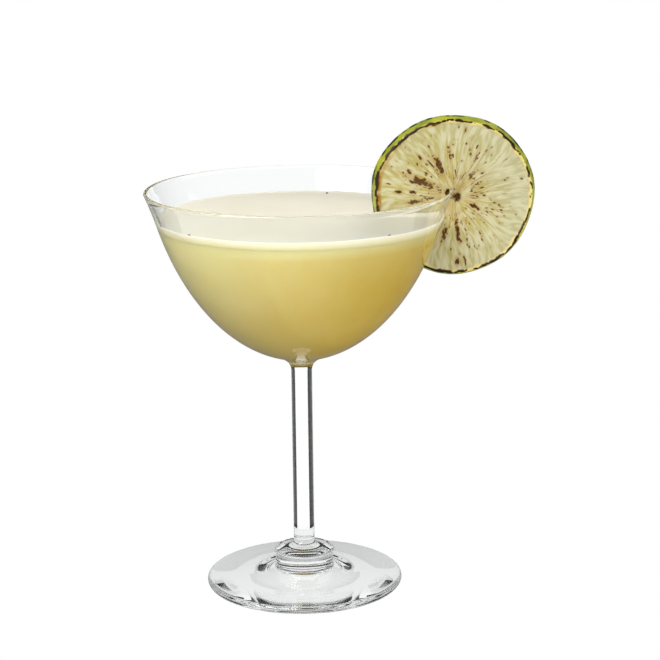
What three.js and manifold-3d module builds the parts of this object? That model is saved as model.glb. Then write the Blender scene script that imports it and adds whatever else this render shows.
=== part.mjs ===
// A herbal liqueur margarita served up: a stemmed coupe glass in one piece, the cloudy drink in it,
// the thin head of foam on the drink, and a charred lime wheel slit to sit on the rim.
// Millimetres, +Z up, the origin at the middle of the foot's underside. The lime is on the +X side of
// the rim, across Y, with its better face to -Y.
import * as THREE from "three";
import { mergeVertices } from "three/addons/utils/BufferGeometryUtils.js";
import Module from "manifold-3d";

const wasm = await Module();
wasm.setup();

// Foot: a flat-bottomed disc with a rounded edge. Its top rises in a slope, steeper near the button.
const FOOT_RADIUS = 32;
const FOOT_EDGE_RADIUS = 1.25;
const FOOT_EDGE_END_ANGLE = 80;
const FOOT_TOP_HEIGHT = 5.2;
const FOOT_SLOPE_POWER = 1.35;

// Button: the short drum between the foot and the stem.
const BUTTON_BASE_RADIUS = 9.2;
const BUTTON_TOP_RADIUS = 9.8;
const BUTTON_TOP_HEIGHT = 11.4;
const BUTTON_EDGE_RADIUS = 0.9;
const BUTTON_EDGE_END_ANGLE = 85;
const BUTTON_FILLET = 0.8;

// Stem: a straight rod that flares into the button below and into the bowl above.
const STEM_RADIUS = 3.4;
const STEM_LOW_HEIGHT = 15.2;
const STEM_HIGH_HEIGHT = 71.8;
const LOW_FLARE_RADIUS = 5.6;
const LOW_FLARE_HEIGHT = 11.9;
const LOW_FLARE_CORNER_RISE = 0.4;
const HIGH_FLARE_RADIUS = 9;

// Bowl: its outside and inside are two ellipses about one centre, above the rim, and a lip flares out.
const RIM_HEIGHT = 130.8;
const RIM_WALL = 1.1;
const BOWL_CENTRE_HEIGHT = 157.5;
const BOWL_HALF_WIDTH = 50.8;
const BOWL_HALF_HEIGHT = 81.9;
const BOWL_FLOOR_WALL = 3.2;
const LIP_FLARE = 1.2;
const LIP_HEIGHT = 11;

// Contents: the drink and, on it, the head of foam, which climbs the wall a little.
const FOAM_TOP_HEIGHT = 122.1;
const FOAM_THICKNESS = 2;
const FOAM_CLIMB = 0.4;
const FOAM_CLIMB_WIDTH = 1.6;

// Lime wheel: a slice from beside the middle of the fruit, so that its front face is the smaller one.
// The shares are parts of a face's radius. SEGMENT_STEPS gives each segment's width in even steps of angle.
const LIME_RADIUS = 25.7;
const LIME_TAPER = 0.9;
const TAPER_AT_MIDDLE = 0.3;
const LIME_THICKNESS = 4.4;
const LIME_CENTRE = new THREE.Vector3(48.7, -2, 128.4);
const RIND_ROUNDING = 0.6;
const PITH_SHARE = 0.95;
const FLESH_SHARE = 0.9;
const FLESH_MIDDLE_SHARE = 0.5;
const FLESH_SINK = 0.55;
const CORE_RADIUS = 2.2;
const CORE_SINK = 1;
const CORE_EDGE_SINK = 0.7;
const MEMBRANE_RISE = 0.4;
const SEGMENT_STEPS = [8, 9, 7, 8, 9, 7, 7, 9, 8, 8];
const OUTLINE_WAVES = [
  { lobes: 2, height: 0.23, turn: 1.9 },
  { lobes: 3, height: 0.22, turn: 5.92 },
  { lobes: 7, height: 0.12, turn: 0.8 },
];
const LIME_WARP = { lobes: 2, height: 0.35, turn: 1.1 };

// Clearance between pieces that touch.
const GAP = 0.35;

// Flats round the turned pieces, up the bowl, on a short curve and on a small rounded edge.
const TURNED_STEPS = 64;
const BOWL_STEPS = 12;
const CURVE_STEPS = 5;
const EDGE_STEPS = 4;

const point = (radius, height) => new THREE.Vector2(radius, height);

// Points at even steps of t from 0 to 1, both ends included, by a rule that gives a point for each t.
const along = (steps, rule) => Array.from({ length: steps + 1 }, (_, i) => rule(i / steps));

// Points on an arc of a circle, from one angle to another, in degrees.
const arc = (centre, radius, from, to, steps) =>
  along(steps, (t) => {
    const angle = THREE.MathUtils.degToRad(THREE.MathUtils.lerp(from, to, t));
    return point(centre.x + radius * Math.cos(angle), centre.y + radius * Math.sin(angle));
  });

// Points on a curve that leaves one point and reaches another along the lines to a corner.
const bend = (start, corner, end, steps) =>
  new THREE.QuadraticBezierCurve(start, corner, end).getPoints(steps);

// A profile of radius and height, turned once round the Z axis.
const turned = (profile) => new THREE.LatheGeometry(profile, TURNED_STEPS).rotateX(Math.PI / 2);

// A closed geometry as a solid that can be joined and cut.
function solid(geometry) {
  const bare = geometry.clone();
  bare.deleteAttribute("normal");
  bare.deleteAttribute("uv");
  const merged = mergeVertices(bare, 1e-3);
  return new wasm.Manifold(
    new wasm.Mesh({
      numProp: 3,
      vertProperties: new Float32Array(merged.getAttribute("position").array),
      triVerts: new Uint32Array(merged.index.array),
    }),
  );
}

// A solid as a geometry again, with flat faces.
function geometryOf(made) {
  const { vertProperties, triVerts } = made.getMesh();
  const geometry = new THREE.BufferGeometry();
  geometry.setAttribute("position", new THREE.BufferAttribute(new Float32Array(vertProperties), 3));
  geometry.setIndex(new THREE.BufferAttribute(new Uint32Array(triVerts), 1));
  const flat = geometry.toNonIndexed();
  flat.computeVertexNormals();
  return flat;
}

// Radius at a height of an ellipse about the bowl's centre.
const ellipseRadius = (halfWidth, halfHeight, height) =>
  halfWidth * Math.sqrt(Math.max(0, 1 - ((BOWL_CENTRE_HEIGHT - height) / halfHeight) ** 2));

// A wave round the lime wheel, at an angle.
const waveAt = (wave, angle) => wave.height * Math.sin(wave.lobes * angle + wave.turn);

// How far the lip flares out at a height.
const lipFlare = (height) =>
  LIP_FLARE * Math.max(0, (height - RIM_HEIGHT + LIP_HEIGHT) / LIP_HEIGHT) ** 2;

const INNER_HALF_HEIGHT = BOWL_HALF_HEIGHT - BOWL_FLOOR_WALL;
const INNER_HALF_WIDTH =
  (ellipseRadius(BOWL_HALF_WIDTH, BOWL_HALF_HEIGHT, RIM_HEIGHT) - RIM_WALL) /
  ellipseRadius(1, INNER_HALF_HEIGHT, RIM_HEIGHT);

const outerRadius = (height) =>
  ellipseRadius(BOWL_HALF_WIDTH, BOWL_HALF_HEIGHT, height) + lipFlare(height);
const innerRadius = (height, clear = 0) =>
  ellipseRadius(INNER_HALF_WIDTH - clear, INNER_HALF_HEIGHT - clear, height) + lipFlare(height);

// Points up an ellipse of the bowl, closer together where it turns, from its lowest point or a radius.
function bowlSide(halfWidth, halfHeight, fromRadius, toHeight, steps) {
  const start = Math.asin(fromRadius / halfWidth);
  const end = Math.acos((BOWL_CENTRE_HEIGHT - toHeight) / halfHeight);
  return along(steps, (t) => {
    const angle = THREE.MathUtils.lerp(start, end, t);
    const height = BOWL_CENTRE_HEIGHT - halfHeight * Math.cos(angle);
    return point(halfWidth * Math.sin(angle) + lipFlare(height), height);
  });
}

function footProfile() {
  const edgeCentre = point(FOOT_RADIUS - FOOT_EDGE_RADIUS, FOOT_EDGE_RADIUS);
  const edge = arc(edgeCentre, FOOT_EDGE_RADIUS, -90, FOOT_EDGE_END_ANGLE, EDGE_STEPS);
  const edgeEnd = edge.at(-1);
  const filletStart = point(BUTTON_BASE_RADIUS + BUTTON_FILLET, FOOT_TOP_HEIGHT);
  const slope = along(CURVE_STEPS, (t) =>
    point(
      THREE.MathUtils.lerp(edgeEnd.x, filletStart.x, t),
      THREE.MathUtils.lerp(edgeEnd.y, filletStart.y, t ** FOOT_SLOPE_POWER),
    ),
  );
  return [point(0, 0), ...edge, ...slope.slice(1)];
}

function buttonProfile() {
  const base = point(BUTTON_BASE_RADIUS, FOOT_TOP_HEIGHT + BUTTON_FILLET);
  const edgeCentre = point(BUTTON_TOP_RADIUS - BUTTON_EDGE_RADIUS, BUTTON_TOP_HEIGHT - BUTTON_EDGE_RADIUS);
  const edge = arc(edgeCentre, BUTTON_EDGE_RADIUS, 0, BUTTON_EDGE_END_ANGLE, EDGE_STEPS);
  const flareStart = point(LOW_FLARE_RADIUS, LOW_FLARE_HEIGHT);
  const flareEnd = point(STEM_RADIUS, STEM_LOW_HEIGHT);
  const flareCorner = point(STEM_RADIUS, LOW_FLARE_HEIGHT + LOW_FLARE_CORNER_RISE);
  return [base, ...edge, ...bend(flareStart, flareCorner, flareEnd, CURVE_STEPS)];
}

function bowlProfile() {
  const lipHeight = RIM_HEIGHT - RIM_WALL / 2;
  const outside = bowlSide(BOWL_HALF_WIDTH, BOWL_HALF_HEIGHT, HIGH_FLARE_RADIUS, lipHeight, BOWL_STEPS);
  const inside = bowlSide(INNER_HALF_WIDTH, INNER_HALF_HEIGHT, 0, lipHeight, BOWL_STEPS).reverse();
  const [join, next] = outside;
  const joinSlope = (next.y - join.y) / (next.x - join.x);
  const corner = point(STEM_RADIUS, join.y - joinSlope * (join.x - STEM_RADIUS));
  const flare = bend(point(STEM_RADIUS, STEM_HIGH_HEIGHT), corner, join, CURVE_STEPS);
  const lipCentre = outside.at(-1).clone().lerp(inside[0], 0.5);
  const lip = arc(lipCentre, lipCentre.distanceTo(inside[0]), 0, 180, EDGE_STEPS).slice(1, -1);
  return [...flare, ...outside.slice(1), ...lip, ...inside];
}

const glassGeometry = () => turned([...footProfile(), ...buttonProfile(), ...bowlProfile()]);

// The bowl's wall grown by the clearance on both sides, from under the lime to just over the rim.
function slitCutter() {
  const low = LIME_CENTRE.z - LIME_RADIUS - LIME_THICKNESS;
  const high = RIM_HEIGHT + GAP;
  const heights = along(BOWL_STEPS, (t) => THREE.MathUtils.lerp(low, high, t));
  const outside = heights.map((height) => point(outerRadius(height) + GAP, height));
  const inside = heights.map((height) => point(innerRadius(height) - GAP, height)).reverse();
  return solid(turned([...outside, ...inside, outside[0]]));
}

// Profile of the lime wheel in radius and depth, from the middle of one face over the rind to the other.
function limeProfile(grow, relief) {
  const half = LIME_THICKNESS / 2 + grow;
  const rim = LIME_RADIUS + grow;
  const face = (side, radius) => [
    point(0, side * (half - relief * CORE_SINK)),
    point(CORE_RADIUS, side * (half - relief * CORE_EDGE_SINK)),
    point(radius * FLESH_MIDDLE_SHARE, side * (half - relief * FLESH_SINK)),
    point(radius * FLESH_SHARE, side * (half - relief * FLESH_SINK)),
    point(radius * PITH_SHARE, side * half),
    point(radius - RIND_ROUNDING, side * half),
    point(radius, side * (half - RIND_ROUNDING)),
  ];
  const middle = point(rim - LIME_TAPER * TAPER_AT_MIDDLE, 0);
  return [...face(-1, rim), middle, ...face(1, rim - LIME_TAPER).reverse()];
}

// The lime wheel in place, without its slit: an uneven outline, sunk flesh between raised membranes
// and a slight warp. With a growth and no relief it is the hollow that the wheel needs in the drink.
function limeDisc(grow, relief) {
  const steps = SEGMENT_STEPS.reduce((sum, count) => sum + count, 0);
  const stepAngle = (2 * Math.PI) / steps;
  let stepsSoFar = 0;
  const membranes = SEGMENT_STEPS.map((count) => (stepsSoFar += count) * stepAngle);
  const membraneEnd = (LIME_RADIUS * (FLESH_SHARE + PITH_SHARE)) / 2;
  const disc = new THREE.LatheGeometry(limeProfile(grow, relief), steps).rotateX(Math.PI);
  const places = disc.getAttribute("position");
  for (let i = 0; i < places.count; i++) {
    const [x, y, z] = [places.getX(i), places.getY(i), places.getZ(i)];
    const radius = Math.hypot(x, z);
    const angle = Math.atan2(z, x);
    const share = radius / LIME_RADIUS;
    const inFlesh = radius > CORE_RADIUS && radius < membraneEnd;
    const nearest = Math.min(...membranes.map((membrane) => Math.abs(Math.sin((angle - membrane) / 2))));
    const onMembrane = inFlesh && nearest < Math.sin(stepAngle / 4);
    const rise = onMembrane ? relief * MEMBRANE_RISE : 0;
    const warp = share * share * waveAt(LIME_WARP, angle);
    const swell = OUTLINE_WAVES.reduce((sum, wave) => sum + waveAt(wave, angle), 0);
    const stretch = 1 + (swell * share) / LIME_RADIUS;
    places.setXYZ(i, x * stretch, y + Math.sign(y) * rise + warp, z * stretch);
  }
  return solid(disc.translate(LIME_CENTRE.x, LIME_CENTRE.y, LIME_CENTRE.z));
}

const limeHollow = limeDisc(GAP, 0);
const DRINK_TOP_HEIGHT = FOAM_TOP_HEIGHT - FOAM_THICKNESS - GAP;

function drinkGeometry() {
  const side = bowlSide(INNER_HALF_WIDTH - GAP, INNER_HALF_HEIGHT - GAP, 0, DRINK_TOP_HEIGHT, BOWL_STEPS);
  return geometryOf(solid(turned([...side, point(0, DRINK_TOP_HEIGHT)])).subtract(limeHollow));
}

function foamGeometry() {
  const low = FOAM_TOP_HEIGHT - FOAM_THICKNESS;
  const climbed = FOAM_TOP_HEIGHT + FOAM_CLIMB;
  const edge = innerRadius(climbed, GAP);
  const profile = [
    point(0, low),
    point(innerRadius(low, GAP), low),
    point(edge, climbed),
    ...bend(
      point(edge, climbed),
      point(edge - FOAM_CLIMB_WIDTH / 3, FOAM_TOP_HEIGHT),
      point(edge - FOAM_CLIMB_WIDTH, FOAM_TOP_HEIGHT),
      EDGE_STEPS,
    ).slice(1),
    point(0, FOAM_TOP_HEIGHT),
  ];
  return geometryOf(solid(turned(profile)).subtract(limeHollow));
}

const limeGeometry = () => geometryOf(limeDisc(0, 1).subtract(slitCutter()));

const finishes = {
  clearGlass: new THREE.MeshStandardMaterial({
    color: 0xeef3f4,
    roughness: 0.03,
    metalness: 0,
    transparent: true,
    opacity: 0.35,
  }),
  cloudyDrink: new THREE.MeshStandardMaterial({ color: 0xd3bf68, roughness: 0.15, metalness: 0 }),
  paleFoam: new THREE.MeshStandardMaterial({ color: 0xf1ede2, roughness: 0.6, metalness: 0 }),
  charredLime: new THREE.MeshStandardMaterial({ color: 0xcfc78a, roughness: 0.5, metalness: 0 }),
};

const margarita = new THREE.Group();
const add = (name, geometry, finish) => {
  const mesh = new THREE.Mesh(geometry, finish);
  mesh.name = name;
  margarita.add(mesh);
};

add("glass", glassGeometry(), finishes.clearGlass);
add("drink", drinkGeometry(), finishes.cloudyDrink);
add("foam", foamGeometry(), finishes.paleFoam);
add("lime_wheel", limeGeometry(), finishes.charredLime);

export default margarita;
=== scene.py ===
import bpy
import numpy as np
from mathutils import Matrix, Vector


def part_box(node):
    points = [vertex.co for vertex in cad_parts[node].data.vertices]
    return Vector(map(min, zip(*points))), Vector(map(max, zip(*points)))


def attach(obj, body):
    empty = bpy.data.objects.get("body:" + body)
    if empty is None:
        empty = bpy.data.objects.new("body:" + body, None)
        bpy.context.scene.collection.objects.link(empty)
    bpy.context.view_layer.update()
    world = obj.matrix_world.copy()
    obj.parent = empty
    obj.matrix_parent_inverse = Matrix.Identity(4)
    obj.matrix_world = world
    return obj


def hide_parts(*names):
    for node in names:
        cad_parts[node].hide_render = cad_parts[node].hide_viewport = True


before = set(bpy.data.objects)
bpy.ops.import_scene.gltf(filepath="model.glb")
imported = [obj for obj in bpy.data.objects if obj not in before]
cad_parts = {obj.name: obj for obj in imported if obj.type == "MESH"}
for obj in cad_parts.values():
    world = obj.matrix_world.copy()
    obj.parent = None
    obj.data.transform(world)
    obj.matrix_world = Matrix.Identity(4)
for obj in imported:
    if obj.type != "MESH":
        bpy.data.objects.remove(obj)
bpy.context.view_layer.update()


# The glass: a coupe in one piece of clear soda-lime glass. The bowl is blown and its stem drawn down,
# the foot and its button are pressed on hot, and the lip is cut and melted round in a flame.
MM = 0.001
FOOT_RADIUS = 32
FOOT_EDGE_RADIUS = 1.25
FOOT_EDGE_END = 80
FOOT_TOP_HEIGHT = 5.2
FOOT_TOP_SLOPE = 8.5
FOOT_HANDLE = 7
HOLLOW_RADIUS = 29
HOLLOW_RISE = 1.7
PUNT_FLAT = 10
PUNT_RADIUS = 17.5
PUNT_RISE = 2
BUTTON_BASE_RADIUS = 9.2
BUTTON_TOP_RADIUS = 9.8
BUTTON_TOP_HEIGHT = 11.4
BUTTON_EDGE_RADIUS = 0.9
BUTTON_FILLET = 0.8
BUTTON_LEAN = 7.6
STEM_RADIUS = 3.4
STEM_LOW_HEIGHT = 15.2
STEM_HIGH_HEIGHT = 71.8
LOW_FLARE_HANDLES = (3.6, 2.6)
HIGH_FLARE_RADIUS = 9
RIM_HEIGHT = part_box("glass")[1].z / MM
RIM_WALL = 1.1
BOWL_CENTRE_HEIGHT = 157.5
BOWL_HALF_WIDTH = 50.8
BOWL_HALF_HEIGHT = 81.9
BOWL_FLOOR_WALL = 3.2
LIP_FLARE = 1.2
LIP_HEIGHT = 11
GLASS_STEPS = 224
CLEAR_GLASS = "#FBFDFC"
WAVINESS_WIDTH = 11
WAVINESS_DEPTH = 0.004


def ease(value, start, end):
    """0 up to start, 1 from end on, and a smooth rise between."""
    share = np.clip((value - start) / (end - start), 0, 1)
    return (3 - 2 * share) * share * share


def bezier(points, steps):
    """Points of radius and height on a Bezier curve, from its ends and the handles between them."""
    share = np.linspace(0, 1, steps + 1)[:, None]
    points = [np.array(point, float) for point in points]
    while len(points) > 1:
        points = [(1 - share) * first + share * second for first, second in zip(points, points[1:])]
    return points[0]


def heading(angle):
    """A unit step of radius and height at an angle in degrees: 0 is outwards and 90 is up."""
    return np.array([np.cos(np.radians(angle)), np.sin(np.radians(angle))])


def arc(centre, radius, start, end, steps):
    """Points of radius and height on an arc between two angles in degrees."""
    return np.array([centre + radius * heading(angle) for angle in np.linspace(start, end, steps + 1)])


def lip_flare(height):
    """How far the lip flares out at a height."""
    return LIP_FLARE * np.clip((height - RIM_HEIGHT + LIP_HEIGHT) / LIP_HEIGHT, 0, None) ** 2


def bowl_radius(half_width, half_height, height):
    """Radius of an ellipse about the bowl's centre at a height, with the lip's flare."""
    drop = (BOWL_CENTRE_HEIGHT - height) / half_height
    return half_width * np.sqrt(np.clip(1 - drop**2, 0, None)) + lip_flare(height)


def bowl_side(half_width, half_height, start_radius, end_height, steps):
    """Points up an ellipse of the bowl, from a radius to a height."""
    start = np.arcsin(start_radius / half_width)
    end = np.arccos((BOWL_CENTRE_HEIGHT - end_height) / half_height)
    angle = np.linspace(start, end, steps + 1)
    height = BOWL_CENTRE_HEIGHT - half_height * np.cos(angle)
    return np.column_stack([half_width * np.sin(angle) + lip_flare(height), height])


INNER_HALF_HEIGHT = BOWL_HALF_HEIGHT - BOWL_FLOOR_WALL
INNER_HALF_WIDTH = (
    BOWL_HALF_WIDTH * np.sqrt(1 - ((BOWL_CENTRE_HEIGHT - RIM_HEIGHT) / BOWL_HALF_HEIGHT) ** 2) - RIM_WALL
) / np.sqrt(1 - ((BOWL_CENTRE_HEIGHT - RIM_HEIGHT) / INNER_HALF_HEIGHT) ** 2)


def glass_profile():
    """The glass from the middle of its underside over the foot, stem and lip to the bowl's floor."""
    out = np.linspace(0, HOLLOW_RADIUS, 36)
    dish = HOLLOW_RISE * (1 - ease(out, 0, HOLLOW_RADIUS))
    punt = PUNT_RISE * (1 - ease(out, PUNT_FLAT, PUNT_RADIUS))
    hollow = np.column_stack([out, dish + punt])
    edge_centre = np.array([FOOT_RADIUS - FOOT_EDGE_RADIUS, FOOT_EDGE_RADIUS])
    edge = arc(edge_centre, FOOT_EDGE_RADIUS, -90, FOOT_EDGE_END, 14)
    inward = heading(180 - FOOT_TOP_SLOPE)
    fillet_start = np.array([BUTTON_BASE_RADIUS + BUTTON_FILLET, FOOT_TOP_HEIGHT])
    slope_start = edge[-1] + FOOT_HANDLE * heading(90 + FOOT_EDGE_END)
    slope_end = fillet_start - FOOT_HANDLE * inward
    slope = bezier([edge[-1], slope_start, slope_end, fillet_start], 30)
    leaning = heading(90 - BUTTON_LEAN)
    base = np.array([BUTTON_BASE_RADIUS, FOOT_TOP_HEIGHT + BUTTON_FILLET])
    fillet_handles = [fillet_start + BUTTON_FILLET / 2 * inward, base - BUTTON_FILLET / 2 * leaning]
    fillet = bezier([fillet_start, *fillet_handles, base], 8)
    shoulder_centre = np.array([BUTTON_TOP_RADIUS, BUTTON_TOP_HEIGHT]) - BUTTON_EDGE_RADIUS
    shoulder = arc(shoulder_centre, BUTTON_EDGE_RADIUS, -BUTTON_LEAN, 85, 12)
    stem_low = np.array([STEM_RADIUS, STEM_LOW_HEIGHT])
    out, down = LOW_FLARE_HANDLES
    flare_handles = [shoulder[-1] + out * heading(175), stem_low - down * heading(90)]
    low_flare = bezier([shoulder[-1], *flare_handles, stem_low], 24)
    stem_high = np.array([STEM_RADIUS, STEM_HIGH_HEIGHT])
    lip_height = RIM_HEIGHT - RIM_WALL / 2
    outside = bowl_side(BOWL_HALF_WIDTH, BOWL_HALF_HEIGHT, HIGH_FLARE_RADIUS, lip_height, 60)
    rise = (outside[1] - outside[0]) / (outside[1, 0] - outside[0, 0])
    corner = outside[0] - rise * (outside[0, 0] - STEM_RADIUS)
    high_flare = bezier([stem_high, corner, outside[0]], 20)
    inside = bowl_side(INNER_HALF_WIDTH, INNER_HALF_HEIGHT, 0, lip_height, 60)[::-1]
    lip_centre = (outside[-1] + inside[0]) / 2
    lip = arc(lip_centre, np.linalg.norm(inside[0] - lip_centre), 0, 180, 10)
    middle = bezier([stem_low, stem_high], 12)
    stretches = [hollow, edge, slope, fillet, shoulder, low_flare, middle, high_flare, outside, lip, inside]
    points = np.vstack(stretches)
    apart = np.linalg.norm(np.diff(points, axis=0), axis=1) > 1e-6
    return points[np.append(True, apart)]


def turned(profile, steps):
    """Vertices and faces of a profile of radius and height, axis to axis, turned round the Z axis."""
    angle = np.linspace(0, 2 * np.pi, steps, endpoint=False)
    radius, height = profile[1:-1, :1], profile[1:-1, 1:]
    rings = np.stack([radius * np.cos(angle), radius * np.sin(angle), height + 0 * angle], axis=-1)
    poles = [[0, 0, profile[0, 1]], [0, 0, profile[-1, 1]]]
    vertices = np.vstack([rings.reshape(-1, 3), poles])
    here = np.arange(steps)
    beside = np.roll(here, -1)
    faces = []
    for low in range(0, (len(rings) - 1) * steps, steps):
        high = low + steps
        faces += np.column_stack([low + here, low + beside, high + beside, high + here]).tolist()
    first, last, top = len(vertices) - 2, len(vertices) - 1, (len(rings) - 1) * steps
    faces += np.column_stack([0 * here + first, beside, here]).tolist()
    faces += np.column_stack([top + here, top + beside, 0 * here + last]).tolist()
    return vertices, faces


def piece(name, vertices, faces, *materials):
    """A smooth mesh object from vertices in millimetres."""
    mesh = bpy.data.meshes.new(name)
    mesh.from_pydata((np.array(vertices) * MM).tolist(), [], faces)
    mesh.shade_smooth()
    for finish in materials:
        mesh.materials.append(finish)
    made = bpy.data.objects.new(name, mesh)
    bpy.context.collection.objects.link(made)
    return made


def linear(colour):
    """An sRGB hex colour as the linear RGBA that shaders take."""
    share = np.array([int(colour[i : i + 2], 16) for i in (1, 3, 5)]) / 255
    bright = np.where(share <= 0.04045, share / 12.92, ((share + 0.055) / 1.055) ** 2.4)
    return (*bright.tolist(), 1.0)


def node(tree, kind, inputs=(), **settings):
    """Adds a node with its settings. Each input is a value, or another node's output to link."""
    made = tree.nodes.new(kind)
    for name, value in settings.items():
        setattr(made, name, value)
    for socket, value in dict(inputs).items():
        if isinstance(value, bpy.types.NodeSocket):
            tree.links.new(value, made.inputs[socket])
        else:
            made.inputs[socket].default_value = value
    return made


def surface(name, **sockets):
    """A material with a Principled shader, with values for its own sockets: (material, tree, shader)."""
    made = bpy.data.materials.new(name)
    made.use_nodes = True
    shader = made.node_tree.nodes["Principled BSDF"]
    for socket, value in sockets.items():
        shader.inputs[socket.replace("_", " ")].default_value = value
    return made, made.node_tree, shader


# Fire-polished soda-lime glass: clear and hard, bright where it faces a light and dark where its edges
# bend the view out to the sides, with the faint waviness of a blown wall.
soda_lime_glass, tree, shader = surface(
    "fire_polished_soda_lime_glass",
    Base_Color=linear(CLEAR_GLASS),
    Roughness=0.0,
    IOR=1.52,
    Transmission_Weight=1.0,
)
place = node(tree, "ShaderNodeTexCoord").outputs["Object"]
wave_scale = 1 / (WAVINESS_WIDTH * MM)
waves = node(tree, "ShaderNodeTexNoise", {"Vector": place, "Scale": wave_scale, "Detail": 1.0})
bump = node(
    tree,
    "ShaderNodeBump",
    {"Height": waves.outputs[0], "Distance": WAVINESS_DEPTH * MM, "Strength": 1.0},
)
tree.links.new(bump.outputs["Normal"], shader.inputs["Normal"])

coupe = piece("coupe", *turned(glass_profile(), GLASS_STEPS), soda_lime_glass)
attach(coupe, "root")
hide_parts("glass")
# Light goes through clear glass, so what stands in or behind it is lit as if it were not there.
coupe.visible_shadow = False


# The drink: spirit, herbal liqueur and lime juice shaken with ice, cloudy with pulp and fine air. It
# wets the glass, so its side reaches a hair into the wall and no air shows between them.
WALL_REACH = 0.1
DRINK_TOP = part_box("foam")[0].z / MM
DRINK_FLOOR = BOWL_CENTRE_HEIGHT - INNER_HALF_HEIGHT
DRINK_STEPS = 160
DRINK_PALE = "#CFC790"
DRINK_GOLD = "#B8980C"
PALE_AT_FLOOR = 0.22
# Paler with height: partly pulp that settles gold to the floor, partly painted light from above.
PULP_AND_LIGHT_BY_HEIGHT = 0.48
# Painted light: how much paler the drink is painted towards its left (-X) side, where the key light falls,
# and the reach in millimetres over which it changes.
PAINTED_LIGHT_BY_SIDE = 0.36
PAINTED_LIGHT_REACH = 33
FROTHY_DEPTH = 4
FROTHY_PALE = 0.5
CLOUD_WIDTH = 14

side = bowl_side(INNER_HALF_WIDTH + WALL_REACH, INNER_HALF_HEIGHT + WALL_REACH, 0, DRINK_TOP, 60)
cap = bezier([side[-1], (0, DRINK_TOP)], 12)

# Cloudy citrus and liqueur: light goes a few millimetres in and comes out soft. Pulp hangs thicker and
# paler under the foam, and the rest is deeper gold. The drink is also painted paler to the left (-X),
# where the key light falls, and deeper gold to the right: painted light and painted shade. It is paler
# with height, partly for pulp that settles gold to the floor and partly as painted light from above.
# Against the glass it has no gloss.
cloudy_citrus, tree, shader = surface(
    "cloudy_citrus_and_liqueur",
    Roughness=0.5,
    Specular_IOR_Level=0.0,
    Subsurface_Weight=0.6,
    Subsurface_Radius=(1.0, 0.8, 0.4),
    Subsurface_Scale=5 * MM,
)
place = node(tree, "ShaderNodeTexCoord").outputs["Object"]
apart = node(tree, "ShaderNodeSeparateXYZ", {0: place})
clouds = node(tree, "ShaderNodeTexNoise", {"Vector": place, "Scale": 1 / (CLOUD_WIDTH * MM), "Detail": 3.0})
# Paler with height: settled pulp, and painted light from above.
pulp_and_top_light = node(
    tree,
    "ShaderNodeMapRange",
    {0: apart.outputs["Z"], 1: DRINK_FLOOR * MM, 2: DRINK_TOP * MM, 3: 0.0, 4: PULP_AND_LIGHT_BY_HEIGHT},
)
# Painted light and shade: paler to the left (-X), where the key light falls, deeper gold to the right.
painted_side_light = node(
    tree,
    "ShaderNodeMath",
    {0: apart.outputs["X"], 1: -PAINTED_LIGHT_BY_SIDE / (PAINTED_LIGHT_REACH * MM), 2: PALE_AT_FLOOR},
    operation="MULTIPLY_ADD",
)
stirred = node(tree, "ShaderNodeMapRange", {0: clouds.outputs[0], 1: 0.3, 2: 0.7, 3: -0.06, 4: 0.06})
frothy = node(
    tree,
    "ShaderNodeMapRange",
    {0: apart.outputs["Z"], 1: (DRINK_TOP - FROTHY_DEPTH) * MM, 2: DRINK_TOP * MM, 3: 0.0, 4: FROTHY_PALE},
)
lifted = node(tree, "ShaderNodeMath", {0: pulp_and_top_light.outputs[0], 1: frothy.outputs[0]})
pale_from_pulp_and_light = node(tree, "ShaderNodeMath", {0: lifted.outputs[0], 1: painted_side_light.outputs[0]})
pale = node(tree, "ShaderNodeMath", {0: pale_from_pulp_and_light.outputs[0], 1: stirred.outputs[0]}, use_clamp=True)
body = node(
    tree,
    "ShaderNodeMix",
    {0: pale.outputs[0], 6: linear(DRINK_GOLD), 7: linear(DRINK_PALE)},
    data_type="RGBA",
)
tree.links.new(body.outputs[2], shader.inputs["Base Color"])

margarita = piece("margarita", *turned(np.vstack([side, cap[1:]]), DRINK_STEPS), cloudy_citrus)
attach(margarita, "root")
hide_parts("drink")


# The head: stiff, fine foam that shaking citrus leaves, about two millimetres deep. It floats on the
# drink, soaks into it, clings to the glass, and climbs a little where the lime stands in it.
FOAM_OVERLAP = 0.2
FOAM_REACH = 0.15
FOAM_CLIMB = 0.4
FOAM_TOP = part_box("foam")[1].z / MM - FOAM_CLIMB
CLIMB_WIDTH = 0.9
LIME_CLIMB = 0.9
SWELLS = ((0.07, 0.11, 0.02, 0.4), (0.05, -0.05, 0.16, 2.1), (0.04, 0.21, 0.19, 4.0))
FOAM_STEPS = 320
FOAM_WHITE = "#F6F3EA"
FOAM_GREY = "#EAE5DA"
SOAKED_DEPTH = 3.2
PATCH_WIDTH = 20
BUBBLE_WIDTH = 0.55
BUBBLE_DEPTH = 0.05
LIME_LOW, LIME_HIGH = (np.array(corner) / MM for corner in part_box("lime_wheel"))


def foam_height(x, y):
    """Height of the head's surface: level, with slow swells, up the glass at the wall and up the lime."""
    wall = bowl_radius(INNER_HALF_WIDTH, INNER_HALF_HEIGHT, FOAM_TOP) - np.hypot(x, y)
    beside = np.maximum.reduce([LIME_LOW[0] - x, LIME_LOW[1] - y, y - LIME_HIGH[1], 0 * x])
    swells = sum(tall * np.sin(across * x + along * y + turn) for tall, across, along, turn in SWELLS)
    at_wall = FOAM_CLIMB * np.exp(-np.clip(wall, 0, None) / CLIMB_WIDTH)
    return FOAM_TOP + swells + at_wall + LIME_CLIMB * np.exp(-beside / CLIMB_WIDTH)


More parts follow.
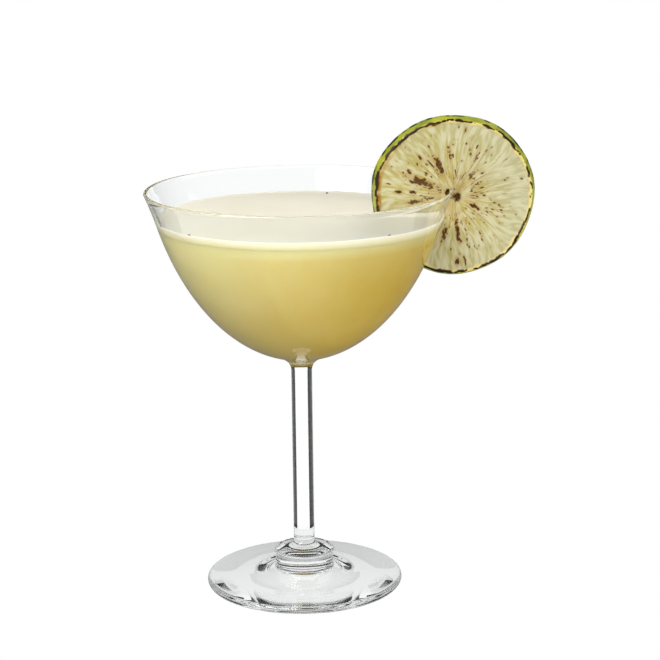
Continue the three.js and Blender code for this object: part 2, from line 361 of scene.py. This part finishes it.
foam_low = DRINK_TOP - FOAM_OVERLAP
foam_bowl = INNER_HALF_WIDTH + FOAM_REACH, INNER_HALF_HEIGHT + FOAM_REACH
foam_start = bowl_radius(*foam_bowl, foam_low) - lip_flare(foam_low)
foam_side = bowl_side(*foam_bowl, foam_start, FOAM_TOP + FOAM_CLIMB, 10)
foam_edge = foam_side[-1, 0]
spacing = np.concatenate([np.linspace(0.12, 3, 16), np.linspace(3.5, foam_edge, 75)])
foam_top = np.column_stack([foam_edge - spacing, 0 * spacing + FOAM_TOP])
vertices, faces = turned(np.vstack([[0, foam_low], foam_side, foam_top]), FOAM_STEPS)
on_top = np.arange(len(vertices)) >= len(foam_side) * FOAM_STEPS
on_top[-2] = False
vertices[on_top, 2] = foam_height(*vertices[on_top, :2].T)

# Citrus foam: bubbles too fine to see apart make it a soft, matt off-white, a little greyer in patches
# where it is thin and yellow where the drink soaks it. The bubbles are drawn coarser than they are.
citrus_foam, tree, shader = surface(
    "fine_citrus_foam",
    Roughness=0.55,
    Specular_IOR_Level=0.3,
    Subsurface_Weight=0.5,
    Subsurface_Radius=(1.0, 1.0, 1.0),
    Subsurface_Scale=1.5 * MM,
)
place = node(tree, "ShaderNodeTexCoord").outputs["Object"]
height = node(tree, "ShaderNodeSeparateXYZ", {0: place}).outputs["Z"]
patch_scale = 1 / (PATCH_WIDTH * MM)
patches = node(tree, "ShaderNodeTexNoise", {"Vector": place, "Scale": patch_scale, "Detail": 4.0})
foamy = node(
    tree,
    "ShaderNodeMix",
    {0: patches.outputs[0], 6: linear(FOAM_GREY), 7: linear(FOAM_WHITE)},
    data_type="RGBA",
)
dry = node(
    tree,
    "ShaderNodeMapRange",
    {0: height, 1: foam_low * MM, 2: (foam_low + SOAKED_DEPTH) * MM, 3: 0.0, 4: 1.0},
)
soaked = node(
    tree,
    "ShaderNodeMix",
    {0: dry.outputs[0], 6: linear(DRINK_PALE), 7: foamy.outputs[2]},
    data_type="RGBA",
)
tree.links.new(soaked.outputs[2], shader.inputs["Base Color"])
bubbles = node(tree, "ShaderNodeTexVoronoi", {"Vector": place, "Scale": 1 / (BUBBLE_WIDTH * MM)})
bump = node(
    tree,
    "ShaderNodeBump",
    {"Height": bubbles.outputs["Distance"], "Distance": BUBBLE_DEPTH * MM, "Strength": 0.6},
    invert=True,
)
tree.links.new(bump.outputs["Normal"], shader.inputs["Normal"])

head = piece("head_of_foam", vertices, faces, citrus_foam)
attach(head, "root")
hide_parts("foam")


# The lime wheel: a slice of a whole lime, 4 mm thick, seared on a dry grill until its flesh and rind
# char, then slit from the middle to the edge and pushed down onto the rim.
LIME_RADIUS = 25.7
LIME_TAPER = 0.9
TAPER_AT_MIDDLE = 0.3
LIME_HALF = 2.2
LIME_CENTRE = np.array([48.7, -2, 128.4])
RIND_ROUNDING = 0.6
RIND_WIDTH = 0.45
PITH_WIDTH = 1.15
PITH_NOTCH = 0.5
FLESH_SINK = 0.45
CORE_RADIUS = 2.2
CORE_SINK = 0.4
MEMBRANE_RISE = 0.15
MEMBRANE_WIDTH = 0.3
SEGMENT_STEPS = (8, 9, 7, 8, 9, 7, 7, 9, 8, 8)
SAC_WIDTH = 0.55
SAC_LENGTH = 3.6
SAC_DEPTH = 0.3
DIMPLE_WIDTH = 0.9
DIMPLE_DEPTH = 0.09
OUTLINE_WAVES = ((2, 0.23, 1.9), (3, 0.22, 5.92), (7, 0.12, 0.8))
WARP = (2, 0.35, 1.1)
LIME_STEPS = 440
SLIT_CLEARANCE = 0.05
FOAM_INTO_LIME = 0.12
# Char marks: angle round the wheel in degrees, radius, length and width in millimetres, and burn 0 to 1.
CHAR_MARKS = (
    (116, 11.2, 6.4, 1.5, 1.0),
    (125, 12.7, 4.4, 0.8, 0.6),
    (156, 11.4, 10.5, 2.1, 0.9),
    (131, 16.4, 1.8, 0.7, 0.9),
    (139, 15.4, 1.3, 1.0, 0.9),
    (151, 16.3, 1.6, 1.0, 0.9),
    (140, 11.2, 1.1, 0.9, 0.8),
    (175, 17.5, 1.9, 0.9, 1.0),
    (174, 13.0, 1.4, 0.9, 0.9),
    (188, 12.9, 5.2, 1.2, 0.95),
    (183, 7.6, 3.6, 1.1, 0.65),
    (96, 13.1, 2.6, 1.3, 0.8),
    (97, 15.6, 0.9, 0.6, 0.8),
    (60, 14.0, 5.0, 0.6, 0.6),
    (50, 9.1, 3.8, 1.5, 0.4),
    (39, 11.4, 1.2, 0.8, 0.7),
    (28, 8.5, 2.2, 1.0, 0.6),
    (-27, 7.2, 3.6, 1.2, 0.9),
    (-26, 15.2, 1.2, 0.8, 0.8),
    (-20, 14.0, 5.0, 0.5, 0.55),
    (-84, 10.5, 6.4, 1.2, 0.95),
    (-104, 12.7, 3.8, 1.4, 0.85),
    (-87, 20.7, 2.3, 1.4, 0.9),
    (-80, 21.0, 2.6, 0.6, 0.7),
    (-55, 14.6, 2.8, 0.6, 0.7),
    (-81, 14.8, 1.4, 0.9, 0.7),
    (80, 21.3, 1.4, 0.8, 0.8),
    (104, 23.6, 0.9, 3.4, 0.8),
    (133, 23.9, 1.0, 2.8, 0.85),
)
# Where the edge is seared: middle angle and spread in degrees, and how much of it is burnt.
EDGE_HEAT = (
    (172, 30, 1.0),
    (128, 26, 0.75),
    (90, 26, 0.6),
    (48, 24, 0.65),
    (5, 30, 0.45),
    (-50, 34, 0.75),
    (-105, 30, 0.95),
)
TOASTED_PITH = (172, 24)
CORE_PITS = ((-2.0, 1.2, 0.85, 1.3), (1.2, -0.6, 1.3, 2.0))
SPECK_COUNT = 230
DASH_WIDTH = 0.9
FRONT_SEED = 11
BACK_SEED = 23


def noise(u, v, cells, seed):
    """Smooth noise from 0 to 1. u and v count cells, and the pattern repeats after that many."""
    values = np.random.default_rng(seed).random(cells)
    low_u, low_v = np.floor(u).astype(int), np.floor(v).astype(int)
    share_u, share_v = ease(u - low_u, 0, 1), ease(v - low_v, 0, 1)
    left, right = low_u % cells[0], (low_u + 1) % cells[0]
    low, high = low_v % cells[1], (low_v + 1) % cells[1]
    below = values[left, low] * (1 - share_u) + values[right, low] * share_u
    above = values[left, high] * (1 - share_u) + values[right, high] * share_u
    return below * (1 - share_v) + above * share_v


def flat_noise(across, up, width, seed):
    """Smooth noise from -0.5 to 0.5 over the wheel's face, in cells of a width."""
    return noise(across / width + 200, up / width + 200, (400, 400), seed) - 0.5


def wave(shape, angle):
    """A wave round the wheel, from its lobes, height and turn."""
    lobes, tall, turn = shape
    return tall * np.sin(lobes * angle + turn)


def round_wheel(angle, width):
    """An angle counted in whole cells of about a width halfway out: (cells, number of cells)."""
    count = round(np.pi * LIME_RADIUS / width)
    return angle / (2 * np.pi) * count, count


MEMBRANES = np.cumsum(SEGMENT_STEPS) / sum(SEGMENT_STEPS) * 2 * np.pi


def face_zones(reach, angle, seed):
    """Shares of one cut face, from 0 to 1: flesh, membrane, and streak and thread of the sacs."""
    bent = angle + 0.05 * np.sin(reach / 4 + 5 * angle)
    apart = np.abs((bent[:, None] - MEMBRANES + np.pi) % (2 * np.pi) - np.pi).min(axis=1) * reach
    flesh_edge = LIME_RADIUS - PITH_WIDTH - PITH_NOTCH * np.exp(-((apart / 1.1) ** 2))
    flesh = 1 - ease(reach, flesh_edge - 0.3, flesh_edge + 0.3)
    membrane = np.exp(-((apart / MEMBRANE_WIDTH) ** 2)) * flesh * ease(reach, 1.5, 4)
    sacs, count = round_wheel(bent, SAC_WIDTH)
    coarse = noise(sacs, reach / SAC_LENGTH + np.sin(sacs) / 2, (count, 16), seed)
    fine = noise(2 * sacs, 2 * reach / SAC_LENGTH + np.sin(2 * sacs) / 2, (2 * count, 32), seed + 1)
    return flesh, membrane, 0.5 * coarse + 0.5 * fine, fine


def face_sink(reach, angle, seed):
    """How deep one cut face lies below its rind, in millimetres."""
    flesh, membrane, streak, _ = face_zones(reach, angle, seed)
    hollow = flesh * (FLESH_SINK + SAC_DEPTH * (0.5 - streak)) - MEMBRANE_RISE * membrane
    return hollow + CORE_SINK * (1 - ease(reach, 0.5, CORE_RADIUS))


def pit_depth(across, up):
    """1 in the middle of the core's two pits, falling to 0 at their edges."""
    far = [np.hypot((across - x) / wide, (up - y) / tall) for x, y, wide, tall in CORE_PITS]
    return 1 - ease(np.minimum.reduce(far), 0.5, 1.0)


def lime_mesh():
    """Vertices and faces of the whole wheel in place, before it is slit."""
    back_reach = np.linspace(0.35, LIME_RADIUS - RIND_ROUNDING, 70)
    front_reach = back_reach * (LIME_RADIUS - LIME_TAPER) / LIME_RADIUS
    back = np.column_stack([back_reach, 0 * back_reach - LIME_HALF])
    front = np.column_stack([front_reach, 0 * front_reach + LIME_HALF])[::-1]
    back_corner = np.array([LIME_RADIUS - RIND_ROUNDING, RIND_ROUNDING - LIME_HALF])
    back_edge = arc(back_corner, RIND_ROUNDING, -80, 0, 5)
    front_corner = np.array([LIME_RADIUS - LIME_TAPER - RIND_ROUNDING, LIME_HALF - RIND_ROUNDING])
    front_edge = arc(front_corner, RIND_ROUNDING, 0, 80, 5)
    bulge = (LIME_RADIUS - LIME_TAPER * TAPER_AT_MIDDLE / 2, 0)
    rim = bezier([back_edge[-1], bulge, front_edge[0]], 9)[1:-1]
    ends = [[0, -LIME_HALF]], [[0, LIME_HALF]]
    profile = np.vstack([ends[0], back, back_edge, rim, front_edge, front, ends[1]])
    spots, faces = turned(profile, LIME_STEPS)
    radius, angle = np.hypot(spots[:, 0], spots[:, 1]), np.arctan2(spots[:, 1], spots[:, 0])
    depth = spots[:, 2]
    faced = np.sign(depth) * (np.abs(depth) > LIME_HALF - 0.02)
    share = radius / LIME_RADIUS
    for side, size, seed in ((1, LIME_RADIUS - LIME_TAPER, FRONT_SEED), (-1, LIME_RADIUS, BACK_SEED)):
        at = faced == side
        depth[at] -= side * face_sink(radius[at] / size * LIME_RADIUS, angle[at], seed)
    dimples, count = round_wheel(angle, DIMPLE_WIDTH)
    skin = noise(dimples, depth / DIMPLE_WIDTH + 40, (count, 90), 5)
    swell = sum(wave(shape, angle) for shape in OUTLINE_WAVES) * share
    swell -= DIMPLE_DEPTH * ease(share, 0.94, 0.99) * skin
    stretch = 1 + swell / LIME_RADIUS
    across, up = spots[:, 0] * stretch, spots[:, 1] * stretch
    depth -= faced * 1.3 * pit_depth(across, up)
    depth -= wave(WARP, angle) * share**2
    return np.column_stack([across, -depth, up]) + LIME_CENTRE, faces


def ring(profile, steps):
    """Vertices and faces of a closed profile that stands clear of the Z axis, turned round it."""
    angle = np.linspace(0, 2 * np.pi, steps, endpoint=False)[:, None]
    radius, height = profile.T
    vertices = np.stack([radius * np.cos(angle), radius * np.sin(angle), height + 0 * angle], axis=-1)
    index = np.arange(steps * len(profile)).reshape(steps, -1)
    beside, above = np.roll(index, -1, axis=0), np.roll(index, -1, axis=1)
    across = np.roll(beside, -1, axis=1)
    faces = np.stack([index, beside, across, above], axis=-1)
    return vertices.reshape(-1, 3), faces.reshape(-1, 4).tolist()


def cut(whole, cutter):
    """Takes a closed mesh out of another for good."""
    knife = whole.modifiers.new("cut", "BOOLEAN")
    knife.operation = "DIFFERENCE"
    knife.solver = "MANIFOLD"
    knife.object = cutter
    left = bpy.data.meshes.new_from_object(whole.evaluated_get(bpy.context.evaluated_depsgraph_get()))
    whole.modifiers.clear()
    whole.data = left
    left.set_sharp_from_angle(angle=np.radians(50))


lime = piece("charred_lime_wheel", *lime_mesh())
levels = np.linspace(LIME_CENTRE[2] - 1.2 * LIME_RADIUS, RIM_HEIGHT + SLIT_CLEARANCE, 40)
outer_wall = bowl_radius(BOWL_HALF_WIDTH, BOWL_HALF_HEIGHT, levels) + SLIT_CLEARANCE
inner_wall = bowl_radius(INNER_HALF_WIDTH, INNER_HALF_HEIGHT, levels) - SLIT_CLEARANCE
slit = np.vstack([np.column_stack([outer_wall, levels]), np.column_stack([inner_wall, levels])[::-1]])
blade = piece("blade", *ring(slit, GLASS_STEPS))
cut(lime, blade)
bpy.data.objects.remove(blade)

wet_radius = LIME_RADIUS - LIME_TAPER - FOAM_INTO_LIME
wet_half = LIME_HALF - FLESH_SINK - FOAM_INTO_LIME
wet_disc = np.array([[0, -wet_half], [wet_radius, -wet_half], [wet_radius, wet_half], [0, wet_half]])
spots, faces = turned(wet_disc, 96)
hollow = piece("hollow", spots[:, [0, 2, 1]] * [1, -1, 1] + LIME_CENTRE, faces)
cut(margarita, hollow)
cut(head, hollow)
bpy.data.objects.remove(hollow)

# What the sear and the fruit do at each point of the wheel, kept on the mesh for its materials.
spots = np.array([vertex.co for vertex in lime.data.vertices]) / MM - LIME_CENTRE
across, up, front = spots[:, 0], spots[:, 2], spots[:, 1] < 0
angle = np.arctan2(up, across)
size = LIME_RADIUS - LIME_TAPER * front + sum(wave(shape, angle) for shape in OUTLINE_WAVES)
reach = np.hypot(across, up) / size * LIME_RADIUS
zones = [face_zones(reach, angle, seed) for seed in (FRONT_SEED, BACK_SEED)]
flesh, membrane, streak, thread = np.where(front, *zones)
rind = reach > LIME_RADIUS - RIND_WIDTH

ragged = flat_noise(across, up, 0.5, 31)
blotched = flat_noise(across, up, 1.5, 37)
split = 1 - 0.6 * ease(thread, 0.5, 0.75)
burn = np.zeros(len(spots))
toast = 0.4 * np.exp(-((reach / 9) ** 2)) * (1 + 2 * blotched)
random = np.random.default_rng(7)
specks = np.column_stack(
    [
        random.uniform(0, 360, SPECK_COUNT),
        random.uniform(5, 22, SPECK_COUNT),
        random.uniform(0.4, 1.3, SPECK_COUNT),
        random.uniform(0.25, 0.6, SPECK_COUNT),
        random.uniform(0.3, 0.8, SPECK_COUNT),
    ]
)
for turn, out, length, width, strength in (*CHAR_MARKS, *specks):
    turn = np.radians(turn)
    outward = across * np.cos(turn) + up * np.sin(turn) - out
    sideways = up * np.cos(turn) - across * np.sin(turn)
    far = np.hypot(outward / length * 2, sideways / width * 2)
    seared = strength * (1 - ease(far + 1.3 * ragged + 0.9 * blotched, 0.4, 1.1))
    burn = np.maximum(burn, seared * split)
    toast = np.maximum(toast, 0.6 * strength * (1 - ease(far + 0.8 * blotched, 0.6, 2.4)))
scorched_threads = ease(thread, 0.68, 0.82) * np.exp(-(((reach - 8) / 5) ** 2)) * ease(blotched, -0.1, 0.2)
burn = np.maximum(burn, 0.5 * scorched_threads)


def sector(middle, spread):
    """1 at an angle round the wheel, falling off to both sides over a spread, both in degrees."""
    return np.exp(-((((np.degrees(angle) - middle + 180) % 360 - 180) / spread) ** 2))


heat = np.maximum.reduce([part * sector(middle, spread) for middle, spread, part in EDGE_HEAT])
dashes, count = round_wheel(angle, DASH_WIDTH)
dash = 0.6 * noise(dashes / 2, 0 * reach, (count // 2, 1), 3)
dash += 0.4 * noise(dashes, 0 * reach, (count, 1), 4)
at_edge = np.exp(-(((reach - LIME_RADIUS + 0.5 + 0.8 * blotched) / (0.25 + 0.4 * heat)) ** 2))
edge_burn = ease(at_edge * (0.4 + heat) + 1.5 * (dash - 0.5) + 0.8 * ragged, 0.5, 0.85)
burn = np.maximum(burn, 1.2 * edge_burn * at_edge)
toasted = sector(*TOASTED_PITH) * (1 + blotched)
toast = np.maximum(toast, toasted * ease(reach, LIME_RADIUS - 2.6, LIME_RADIUS - 1.6))
burn = np.maximum(burn, pit_depth(across + ragged, up + blotched) * (0.6 + 0.8 * ragged))
ripe = np.clip(1.25 - reach / 23 - across / 60 + 0.7 * flat_noise(across, up, 7, 41), 0, 1)

for name, values in {
    "flesh": flesh,
    "membrane": membrane,
    "streak": ease(streak, 0.25, 0.75),
    "ripe": ripe,
    "burn": burn,
    "toast": toast,
}.items():
    lime.data.attributes.new(name, "FLOAT", "POINT").data.foreach_set("value", values.astype(np.float32))

FLESH_PALE = "#B8B390"
FLESH_GREY = "#A29D74"
FLESH_YELLOW = "#A09444"
MEMBRANE_PALE = "#B7B192"
PITH_CREAM = "#CDBB74"
TOAST_GOLD = "#96701E"
CHAR_BROWN = "#523208"
CHAR_BLACK = "#1C1208"

# Seared lime flesh: pale juice sacs drawn out from the core, dry and streaked, with cream membranes and
# pith. The sear goes from gold through brown to black.
seared_flesh, tree, shader = surface(
    "seared_lime_flesh",
    Roughness=0.45,
    Specular_IOR_Level=0.35,
    Subsurface_Weight=0.2,
    Subsurface_Radius=(1.0, 0.9, 0.5),
    Subsurface_Scale=1.0 * MM,
)
reads = {
    name: node(tree, "ShaderNodeAttribute", attribute_name=name).outputs["Fac"]
    for name in ("flesh", "membrane", "streak", "ripe", "burn", "toast")
}
deep = node(
    tree,
    "ShaderNodeMix",
    {0: reads["ripe"], 6: linear(FLESH_GREY), 7: linear(FLESH_YELLOW)},
    data_type="RGBA",
).outputs[2]
colour = node(
    tree,
    "ShaderNodeMix",
    {0: reads["streak"], 6: deep, 7: linear(FLESH_PALE)},
    data_type="RGBA",
).outputs[2]
faint = node(tree, "ShaderNodeMath", {0: reads["membrane"], 1: 0.6}, operation="MULTIPLY").outputs[0]
colour = node(
    tree,
    "ShaderNodeMix",
    {0: faint, 6: colour, 7: linear(MEMBRANE_PALE)},
    data_type="RGBA",
).outputs[2]
colour = node(
    tree,
    "ShaderNodeMix",
    {0: reads["flesh"], 6: linear(PITH_CREAM), 7: colour},
    data_type="RGBA",
).outputs[2]
colour = node(
    tree,
    "ShaderNodeMix",
    {0: reads["toast"], 6: colour, 7: linear(TOAST_GOLD)},
    data_type="RGBA",
).outputs[2]
for start, end, shade in ((0.1, 0.42, CHAR_BROWN), (0.65, 1.05, CHAR_BLACK)):
    share = node(tree, "ShaderNodeMapRange", {0: reads["burn"], 1: start, 2: end, 3: 0.0, 4: 1.0})
    colour = node(
        tree,
        "ShaderNodeMix",
        {0: share.outputs[0], 6: colour, 7: linear(shade)},
        data_type="RGBA",
    ).outputs[2]
tree.links.new(colour, shader.inputs["Base Color"])

RIND_GREEN = "#87922E"
RIND_YELLOW = "#B9BA3C"
RIND_PATCH = 9

# Lime rind: thin waxy peel with pin-prick oil glands, glossy, yellow-green with greener patches, and
# black along the edge that lay on the grill.
waxy_rind, tree, shader = surface("waxy_lime_rind", Roughness=0.35, Specular_IOR_Level=0.5)
place = node(tree, "ShaderNodeTexCoord").outputs["Object"]
patches = node(tree, "ShaderNodeTexNoise", {"Vector": place, "Scale": 1 / (RIND_PATCH * MM), "Detail": 3.0})
yellow = node(tree, "ShaderNodeMapRange", {0: patches.outputs[0], 1: 0.35, 2: 0.65, 3: 0.0, 4: 1.0})
colour = node(
    tree,
    "ShaderNodeMix",
    {0: yellow.outputs[0], 6: linear(RIND_GREEN), 7: linear(RIND_YELLOW)},
    data_type="RGBA",
).outputs[2]
burnt = node(tree, "ShaderNodeAttribute", attribute_name="burn").outputs["Fac"]
share = node(tree, "ShaderNodeMapRange", {0: burnt, 1: 0.15, 2: 0.6, 3: 0.0, 4: 1.0}).outputs[0]
colour = node(
    tree,
    "ShaderNodeMix",
    {0: share, 6: colour, 7: linear(CHAR_BLACK)},
    data_type="RGBA",
).outputs[2]
tree.links.new(colour, shader.inputs["Base Color"])

lime.data.materials.clear()
lime.data.materials.append(seared_flesh)
lime.data.materials.append(waxy_rind)
skin = np.array([rind[list(face.vertices)].all() for face in lime.data.polygons])
lime.data.polygons.foreach_set("material_index", skin.astype(np.int32))
lime.data.update()
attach(lime, "root")
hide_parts("lime_wheel")


# Flecks of char: three crumbs, each under a millimetre across, that fell from the seared lime and float
# in the head of foam close to the glass.
FLECK_PLACES = ((-33.0, -29.5, 0.42), (26.6, -35.4, 0.48), (9.4, 40.4, 0.42))
FLECK_FLATNESS = 0.6
FLECK_LUMPS = 0.35
rise = np.radians(np.linspace(-90, 90, 9))
half_round = np.column_stack([np.cos(rise).round(9), FLECK_FLATNESS * np.sin(rise)])
random = np.random.default_rng(19)
crumbs, crumb_faces = [], []
for x, y, size in FLECK_PLACES:
    ball, faces = turned(half_round, 12)
    first = sum(map(len, crumbs))
    crumb_faces += [tuple(first + corner for corner in face) for face in faces]
    lumpy = ball * size * random.uniform(1 - FLECK_LUMPS, 1 + FLECK_LUMPS, (len(ball), 1))
    crumbs.append(lumpy + [x, y, foam_height(np.array(x), np.array(y))])

# Burnt crumb: dry carbon, black-brown and dull.
dry_char = surface("dry_char", Base_Color=linear(CHAR_BLACK), Roughness=0.9, Specular_IOR_Level=0.2)[0]
flecks = piece("char_flecks", np.vstack(crumbs), crumb_faces, dry_char)
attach(flecks, "root")


# The set: all white to the camera, as in a cut-out photograph. Clear glass takes its tones from what is
# round it, so it looks out at white cards under, behind and in front of it, with dark gaps between them.
# The washer round the stem keeps the bright foot out of the reflections in the bowl.
ROOM_PROFILE = np.array([[0, -2], [1500, -2], [2600, 60], [3000, 800], [2600, 2300], [0, 3000]])
RAYS = ("camera", "diffuse", "glossy", "transmission", "shadow")
PAD_RADIUS = 27
PAD_BEHIND = 50
BACKDROP_START = 30
BACKDROP_END = 1250
BACKDROP_LEFT = 24
BACKDROP_RIGHT = 30
BACKDROP_HEIGHT = 500
SWEEP_GLOW = 1.0
ROOM_GLOW = 0.03
TABLE_GLOW = 0.7
PAD_GLOW = 0.95
BACKDROP_GLOW = 1.08
SCREEN_GLOW = 1.0
SHEEN = 0.22
ROOM_STEPS = 64
WASHER = np.array([[6, 45], [40, 45], [40, 45.1], [6, 45.1]])
SCREEN_START = 50
SCREEN_FROM = 75
SCREEN_TO = 291


def prop(name, vertices, faces, brightness, seen_by):
    """A piece of the set that glows evenly and is seen by one kind of ray."""
    paint = surface(
        name,
        Base_Color=(0, 0, 0, 1),
        Specular_IOR_Level=0.0,
        Emission_Color=(1, 1, 1, 1),
        Emission_Strength=brightness,
    )[0]
    made = piece(name, vertices, faces, paint)
    for rays in RAYS:
        setattr(made, f"visible_{rays}", rays == seen_by)


prop("white_sweep", *turned(ROOM_PROFILE, ROOM_STEPS), SWEEP_GLOW, "camera")
prop("dark_room", *turned(ROOM_PROFILE * 0.95, ROOM_STEPS), ROOM_GLOW, "transmission")
table = [(-900, -900, -1), (900, -900, -1), (900, 900, -1), (-900, 900, -1)]
prop("table", table, [(0, 1, 2, 3)], TABLE_GLOW, "diffuse")
prop("table_sheen", table, [(0, 1, 2, 3)], SHEEN, "glossy")
prop("washer", *ring(WASHER, ROOM_STEPS), SHEEN, "glossy")

turns = np.radians(np.arange(0, 360, 5))
pad_radius = np.where(np.cos(turns) > -0.2, PAD_BEHIND, PAD_RADIUS)
pad = np.column_stack([pad_radius * np.sin(turns), pad_radius * np.cos(turns), 0 * turns - 0.1])
prop("white_pad", pad, [tuple(range(len(pad)))], PAD_GLOW, "transmission")

left, right = -np.tan(np.radians(BACKDROP_LEFT)), np.tan(np.radians(BACKDROP_RIGHT))
near, far = BACKDROP_START, BACKDROP_END
backdrop = [
    (near * left, near, -1),
    (near * right, near, -1),
    (far * right, far, -1),
    (far * left, far, -1),
    (far * right, far, BACKDROP_HEIGHT),
    (far * left, far, BACKDROP_HEIGHT),
]
prop("white_backdrop", backdrop, [(0, 1, 2, 3), (3, 2, 4, 5)], BACKDROP_GLOW, "transmission")

turns = np.radians(np.linspace(SCREEN_FROM, SCREEN_TO, 37))
steps = ((SCREEN_START, -1), (BACKDROP_END, -1), (BACKDROP_END, BACKDROP_HEIGHT))
screen = [(out * np.sin(turn), out * np.cos(turn), up) for turn in turns for out, up in steps]
panels = [(i + j, i + j + 3, i + j + 4, i + j + 1) for i in range(0, len(screen) - 3, 3) for j in (0, 1)]
prop("white_screen", screen, panels, SCREEN_GLOW, "transmission")

SKY_BRIGHT = 0.5
SKY_DARK = 0.04
world = bpy.data.worlds.new("studio")
bpy.context.scene.world = world
world.use_nodes = True
tree = world.node_tree
background = tree.nodes["Background"]
toward = node(tree, "ShaderNodeTexCoord").outputs["Generated"]
rise = node(tree, "ShaderNodeSeparateXYZ", {0: toward}).outputs["Z"]
glow = node(tree, "ShaderNodeMapRange", {0: rise, 1: -0.2, 2: 0.0, 3: SKY_DARK, 4: SKY_BRIGHT}).outputs[0]
tree.links.new(glow, background.inputs["Strength"])


def lamp(name, place, size, power):
    """A square soft light, millimetres from the origin, aimed at the drink."""
    made = bpy.data.objects.new(name, bpy.data.lights.new(name, "AREA"))
    made.data.size = size * MM
    made.data.energy = power
    made.location = [mm * MM for mm in place]
    aim = Vector((0, 0, DRINK_TOP * MM)) - made.location
    made.rotation_euler = aim.to_track_quat("-Z", "Y").to_euler()
    made.visible_transmission = False
    bpy.context.collection.objects.link(made)
    return made


# A key light from the left, a fill from the right, a light over the foam and one behind.
key = lamp("key", (-550, -650, 700), 750, 12)
fill = lamp("fill", (600, -800, 150), 800, 10.5)
fill.visible_glossy = False
top = lamp("top", (0, 100, 920), 600, 1.0)
top.visible_glossy = False
back = lamp("back", (300, 850, 350), 800, 14)
back.visible_glossy = False

# The camera stands where the photograph's did: a little above the rim, over half a metre off.
CAMERA_PLACE = (0, -615.6, 235.4)
CAMERA_DOWN = 0.2400
CAMERA_YAW = 0.0151
CAMERA_ROLL = -0.0117
SENSOR = 36
FOCAL_PIXELS = 1972.3
PHOTO_PIXELS = 660
camera = bpy.data.objects.new("camera", bpy.data.cameras.new("camera"))
bpy.context.collection.objects.link(camera)
camera.data.sensor_width = SENSOR
camera.data.lens = FOCAL_PIXELS / PHOTO_PIXELS * SENSOR
turn = (
    Matrix.Rotation(-CAMERA_YAW, 4, "Z")
    @ Matrix.Rotation(np.pi / 2 - CAMERA_DOWN, 4, "X")
    @ Matrix.Rotation(CAMERA_ROLL, 4, "Z")
)
camera.matrix_world = Matrix.Translation([mm * MM for mm in CAMERA_PLACE]) @ turn
bpy.context.scene.camera = camera

# Light runs a long way inside the foot and stem before it leaves them, so it is followed further.
BOUNCES = 32
cycles = bpy.context.scene.cycles
cycles.max_bounces = BOUNCES
cycles.glossy_bounces = BOUNCES
cycles.transmission_bounces = BOUNCES
bpy.context.scene.view_settings.view_transform = "Standard"
